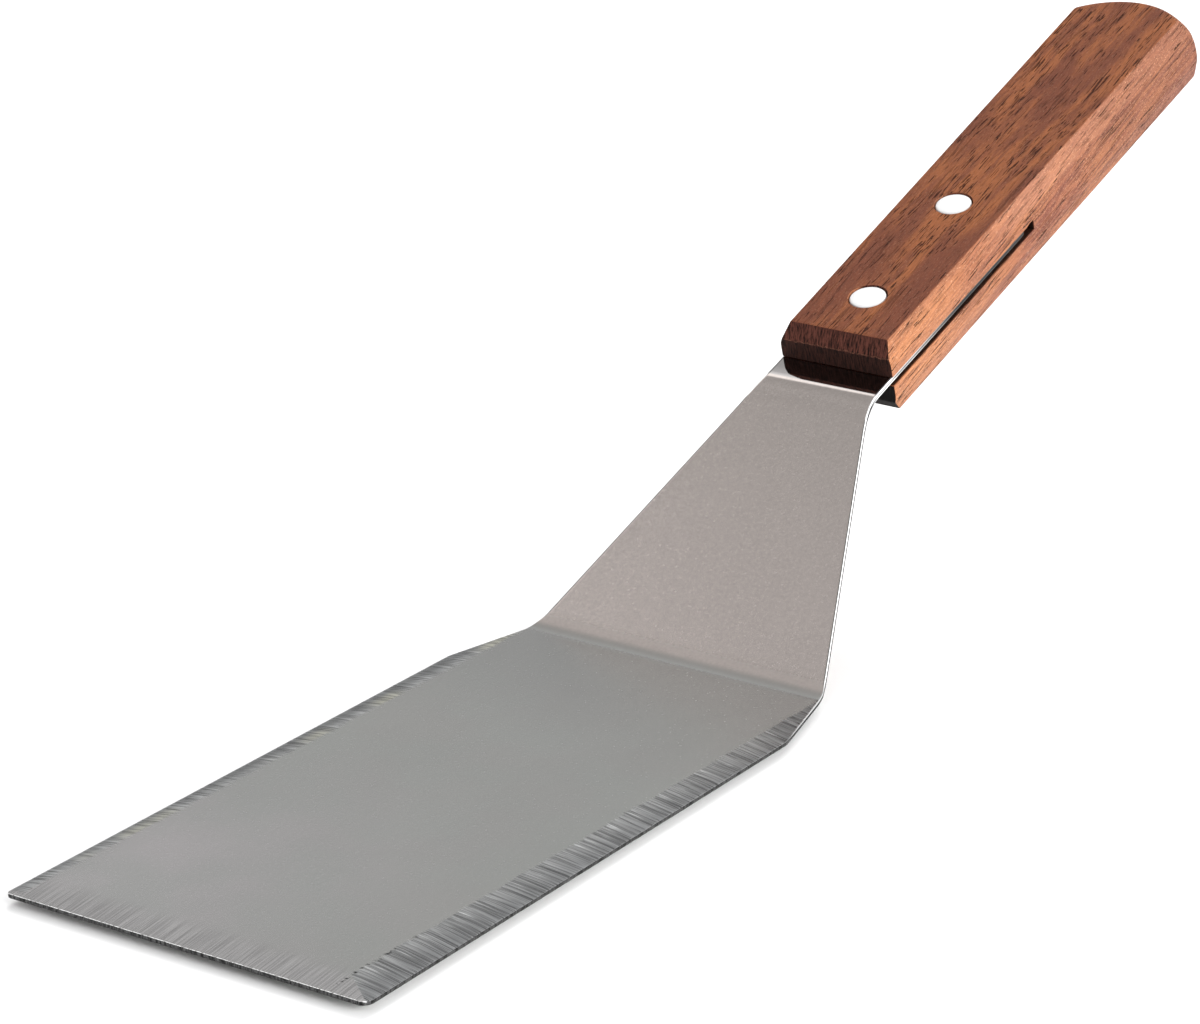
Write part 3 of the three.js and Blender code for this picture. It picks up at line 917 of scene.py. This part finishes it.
def wood_ground(s, place, grain, right_side):
    """The wood's colour without pores. The right side is paler, most of all at its front: partly lighter
    sanded wood, partly painted light from the lamp on that side, which is painted darker towards the rear
    as that light falls off.
    """
    _, y, z = s.split(place)
    zones = s.noise(grain, (0.13, 0.022, 0.13), 3.0, 0.6)
    bands = s.noise(grain, (0.5, 0.03, 0.5), 3.0, 0.6)
    colour = s.blend(s.step(zones, 0.38, 0.62), (0.175, 0.055, 0.029, 1.0), (0.315, 0.105, 0.040, 1.0))
    colour = s.blend(s.step(bands, 0.43, 0.66, 0.0, 0.75), colour, (0.170, 0.054, 0.030, 1.0))
    paler = s.blend(s.step(zones, 0.35, 0.65), (0.270, 0.092, 0.050, 1.0), (0.400, 0.155, 0.066, 1.0))
    streaks = s.noise(grain, (1.5, 0.05, 1.5), 3.0, 0.7)
    paler = s.blend(s.step(streaks, 0.46, 0.58, 0.0, 0.8), paler, (0.140, 0.045, 0.030, 1.0))
    chamfered = s.times(s.step(z, 2.0, 4.0, 0.0, 0.5), s.step(y, 30.0, 60.0))
    paler = s.blend(chamfered, paler, (0.520, 0.245, 0.150, 1.0))
    # Painted light: brighter towards the front of the right side and darker towards the rear, where the
    # side lamp's light falls off.
    paler = s.blend(s.step(y, 60.0, 10.0, 0.0, 0.45), paler, (0.560, 0.245, 0.120, 1.0))
    paler = s.blend(s.step(y, 55.0, 115.0, 0.0, 0.55), paler, (0.160, 0.056, 0.036, 1.0))
    return s.blend(s.times(right_side, 0.9), colour, paler)


def wood_pores(s, grain, right_side):
    """Short dark dashes in loose clusters, a sparser set of longer, fainter ones and many minute
    ones. 1 is the darkest."""
    cluster = s.step(s.noise(grain, (0.16, 0.03, 0.16), 2.0), 0.36, 0.62)
    short = s.noise(grain, (3.1, 0.13, 3.1), 1.0, 0.4)
    edge = s.add(s.affine(cluster, -0.080, 0.684), s.times(right_side, 0.025))
    pores = s.step(s.math("SUBTRACT", short, edge), 0.0, 0.010)
    long = s.noise(s.shift(grain, (31.0, 17.0, 5.0)), (1.3, 0.05, 1.3), 2.0, 0.5)
    minute = s.noise(s.shift(grain, (7.0, 3.0, 11.0)), (4.2, 0.30, 4.2), 1.0, 0.5)
    faint = s.times(s.step(long, 0.60, 0.66), 0.45)
    faint = s.math("MAXIMUM", faint, s.step(minute, 0.60, 0.70, 0.0, 0.45))
    return s.math("MAXIMUM", pores, faint)


def wood_ends(s, place):
    """End grain drinks more oil and goes dark with upright streaks. The front is darker, and painted darker
    still as shade below its chamfer and near black below the tang's upper face, and a broken pale ridge
    between the chamfer and the face is a painted highlight."""
    _, y, z = s.split(place)
    ends = s.noise(place, (3.2, 0.5, 0.4), 3.0, 0.7)
    front = s.blend(s.step(ends, 0.34, 0.64), (0.010, 0.004, 0.003, 1.0), (0.150, 0.050, 0.035, 1.0))
    # Painted shade: darker below the chamfer, near black below the tang's upper face.
    front = s.blend(s.step(z, 4.6, 4.0, 0.0, 0.7), front, (0.012, 0.006, 0.005, 1.0))
    front = s.blend(s.step(z, 0.2, -0.2), front, (0.004, 0.003, 0.003, 1.0))
    # Painted highlight: a broken pale ridge along the crease between the chamfer and the face.
    waver = s.affine(s.noise(place, (0.6, 0, 0), 4.0, 0.7), -1.4, 0.7)
    ridge_highlight = s.math("ABSOLUTE", s.add(waver, s.add(z, TOP_FRONT_CHAMFER[1] - HANDLE_TOP)))
    broken = s.step(s.noise(place, (1.3, 0, 0), 2.0), 0.35, 0.60)
    ridge_highlight = s.times(s.step(ridge_highlight, 0.16, 0.02), broken)
    front = s.blend(s.times(ridge_highlight, 0.55), front, (0.260, 0.110, 0.070, 1.0))
    rear = s.blend(s.step(ends, 0.35, 0.65), (0.085, 0.028, 0.017, 1.0), (0.200, 0.070, 0.038, 1.0))
    return s.blend(s.step(y, 20.0, 30.0), front, rear)


def inside_slot(s, place):
    """1 on the walls of the saw cut."""
    x, y, z = s.split(place)
    half = (SLOT_TOP - SLOT_BOTTOM) / 2
    from_middle = s.math("ABSOLUTE", s.add(z, SLOT_MIDDLE))
    inside = s.step(s.math("ABSOLUTE", x), HALF_WIDTH - 0.2, HALF_WIDTH - 0.4)
    inside = s.times(inside, s.step(from_middle, half + 0.175, half + 0.075))
    inside = s.times(inside, s.step(y, 0.1, 0.6))
    return s.times(inside, s.step(y, SLOT_DEPTH + 1.0, SLOT_DEPTH + 0.5))


def wood_material():
    s = Shader("oiled_hardwood", Specular_IOR_Level=0.15)
    place = s.millimetres(HANDLE_FRAME.translation, TANG_ANGLE)
    nx, ny, _ = s.facing(TANG_ANGLE)
    end_grain = s.step(s.math("ABSOLUTE", ny), 0.35, 0.8)
    right_side = s.step(nx, 0.3, 0.8)
    grain = wood_grain(s, place)
    fibre = s.noise(grain, (3.6, 0.25, 3.6), 3.0, 0.65)
    dark = wood_pores(s, grain, right_side)

    colour = wood_ground(s, place, grain, right_side)
    colour = s.blend(1.0, colour, s.even(s.affine(fibre, 1.1, 0.45)), "MULTIPLY")
    colour = s.blend(s.times(dark, 0.85), colour, (0.022, 0.009, 0.007, 1.0))
    colour = s.blend(end_grain, colour, wood_ends(s, place))
    # Painted shade on the walls of the saw cut.
    colour = s.blend(s.times(inside_slot(s, place), 0.95), colour, (0.018, 0.008, 0.006, 1.0))

    # Sanded fibres catch the light: pale specks painted as highlights, most of all on the right side,
    # which the lamp lights.
    fuzz = s.noise(place, (4.0, 1.6, 4.0), 2.0, 0.75)
    # The share of painted specks is larger on the lit right side.
    worn = s.add(0.25, s.times(right_side, 0.75))
    flecks = s.times(s.times(s.step(fuzz, 0.55, 0.70), worn), s.math("SUBTRACT", 1.0, end_grain))
    colour = s.blend(s.times(flecks, 0.6), colour, (0.66, 0.36, 0.22, 1.0))

    roughness = s.affine(fibre, 0.22, 0.40)
    roughness = s.add(roughness, s.times(s.math("MAXIMUM", dark, end_grain), 0.3))
    normal = s.bump(s.math("SUBTRACT", 1.0, dark), 0.08, s.bump(fibre, 0.04))
    return s.finish(colour, roughness, normal)


def rivet_material():
    s = Shader("rivet_aluminium", Metallic=0.25)
    place = s.millimetres(HANDLE_FRAME.translation, TANG_ANGLE)
    scuff = s.noise(place, (0.8, 6.0, 0.8), 3.0, 0.6)
    dull = s.noise(place, (1.1, 1.1, 1.1), 3.0, 0.6)
    level = s.add(s.affine(scuff, 0.04, 0.93), s.affine(dull, 0.04, -0.01))
    roughness = s.affine(dull, 0.15, 0.40)
    normal = s.bump(scuff, 0.006, s.bump(dull, 0.01))
    return s.finish(s.even(level), roughness, normal)


def dress(piece, material, node):
    piece.data.materials.clear()
    piece.data.materials.append(material)
    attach(piece, "root")
    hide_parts(node)


# ---------------------------------------------------------------- camera, light and floor

def make_camera():
    lens = bpy.data.cameras.new("camera")
    lens.lens = CAMERA_LENS
    lens.sensor_width = CAMERA_SENSOR
    lens.clip_start = 0.01
    camera = bpy.data.objects.new("camera", lens)
    x, y, z = CAMERA_PLACE
    place = Matrix.Translation((x, ORIGIN_Y * MM + y, z))
    swing = Matrix.Rotation(radians(CAMERA_HEADING), 4, "Z")
    tilt = Matrix.Rotation(radians(90 - CAMERA_ELEVATION), 4, "X")
    roll = Matrix.Rotation(radians(CAMERA_ROLL), 4, "Z")
    camera.matrix_world = place @ swing @ tilt @ roll
    bpy.context.scene.collection.objects.link(camera)
    bpy.context.scene.camera = camera


def make_sun(name, towards, strength, spread):
    """A distant soft light. Towards points from the object to the light. Glossy surfaces don't show
    it, so that the steel doesn't burn out from some sides."""
    light = bpy.data.lights.new(name, "SUN")
    light.energy = strength
    light.angle = radians(spread)
    lamp = bpy.data.objects.new(name, light)
    lamp.visible_glossy = False
    lamp.rotation_mode = "QUATERNION"
    lamp.rotation_quaternion = Vector(towards).to_track_quat("Z", "Y")
    bpy.context.scene.collection.objects.link(lamp)


def make_world():
    """A grey studio that is white low down and darker above."""
    world = bpy.data.worlds.new("studio")
    world.use_nodes = True
    nodes, links = world.node_tree.nodes, world.node_tree.links
    where = nodes.new("ShaderNodeTexCoord")
    parts = nodes.new("ShaderNodeSeparateXYZ")
    ramp = nodes.new("ShaderNodeValToRGB")
    stops = ramp.color_ramp.elements
    stops[0].position, stops[0].color = 0.0, (1.0, 1.0, 1.0, 1.0)
    stops[1].position, stops[1].color = 1.0, (0.60, 0.60, 0.60, 1.0)
    for height, brightness in STUDIO_LEVELS:
        stops.new(height).color = (brightness, brightness, brightness, 1.0)
    links.new(where.outputs["Generated"], parts.inputs[0])
    links.new(parts.outputs["Z"], ramp.inputs[0])
    links.new(ramp.outputs[0], nodes["Background"].inputs["Color"])
    bpy.context.scene.world = world


def make_floor():
    mesh = bpy.data.meshes.new("floor")
    half, level = 6.0, -FLOOR_DROP
    corners = [(-half, -half, level), (half, -half, level), (half, half, level), (-half, half, level)]
    mesh.from_pydata(corners, [], [(0, 1, 2, 3)])
    floor = bpy.data.objects.new("floor", mesh)
    material = bpy.data.materials.new("floor_paper")
    material.use_nodes = True
    surface = material.node_tree.nodes["Principled BSDF"]
    surface.inputs["Base Color"].default_value = (0.9, 0.9, 0.9, 1.0)
    surface.inputs["Roughness"].default_value = 0.9
    surface.inputs["Specular IOR Level"].default_value = 0.0
    mesh.materials.append(material)
    bpy.context.scene.collection.objects.link(floor)


# ---------------------------------------------------------------- scene

make_camera()
dress(make_blade(), steel_material(), "blade")
dress(make_handle(), wood_material(), "handle")
rivet_finish = rivet_material()
for node, rivet in make_rivets().items():
    dress(rivet, rivet_finish, node)

make_world()
make_sun("back_light", (-0.35, 0.80, 0.48), 2.9, 35.0)
make_sun("side_light", (0.93, 0.12, 0.33), 3.6, 40.0)
make_floor()
bpy.context.scene.view_settings.view_transform = "Standard"
